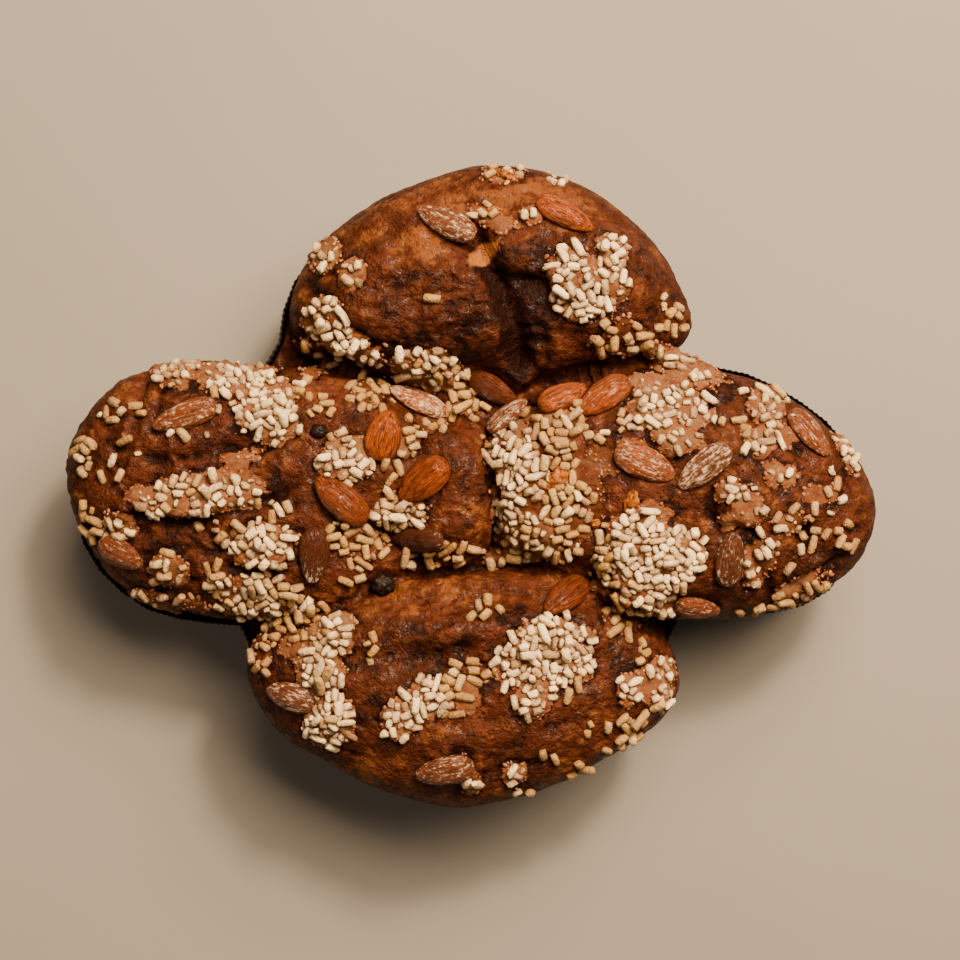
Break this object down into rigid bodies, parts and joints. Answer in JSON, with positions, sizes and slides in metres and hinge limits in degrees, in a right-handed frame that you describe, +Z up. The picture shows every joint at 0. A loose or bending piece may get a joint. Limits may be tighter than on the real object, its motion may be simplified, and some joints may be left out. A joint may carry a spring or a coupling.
{
  "type": "colomba cake",
  "caption": "Dove-shaped sweet Easter bread in its dark paper mould, glazed and topped with whole almonds and pearl sugar.",
  "frame": {"origin": "on the table, under the middle of the cake", "axes": "+X along the body of the dove, towards the right-hand end of the picture; +Y towards the upper wing; +Z up"},
  "size_m": [0.3104, 0.2481, 0.0863],
  "materials": {
    "crust": "baked crust, satin, mottled dark brown",
    "paper": "dark brown corrugated paper, matte",
    "almond": "almond skin, satin, partly frosted with sugar",
    "raisin": "wrinkled, satin"
  },
  "bodies": {
    "root": {"paper_mould": "paper", "cake": "crust", "almond_01": "almond", "almond_02": "almond", "almond_03": "almond", "almond_04": "almond", "almond_05": "almond", "almond_06": "almond", "almond_07": "almond", "almond_08": "almond", "almond_09": "almond", "almond_10": "almond", "almond_11": "almond", "almond_12": "almond", "almond_13": "almond", "almond_14": "almond", "almond_15": "almond", "almond_16": "almond", "almond_17": "almond", "almond_18": "almond", "almond_19": "almond", "almond_20": "almond", "almond_21": "almond", "almond_22": "almond", "raisin_01": "raisin", "raisin_02": "raisin"}
  },
  "joints": []
}
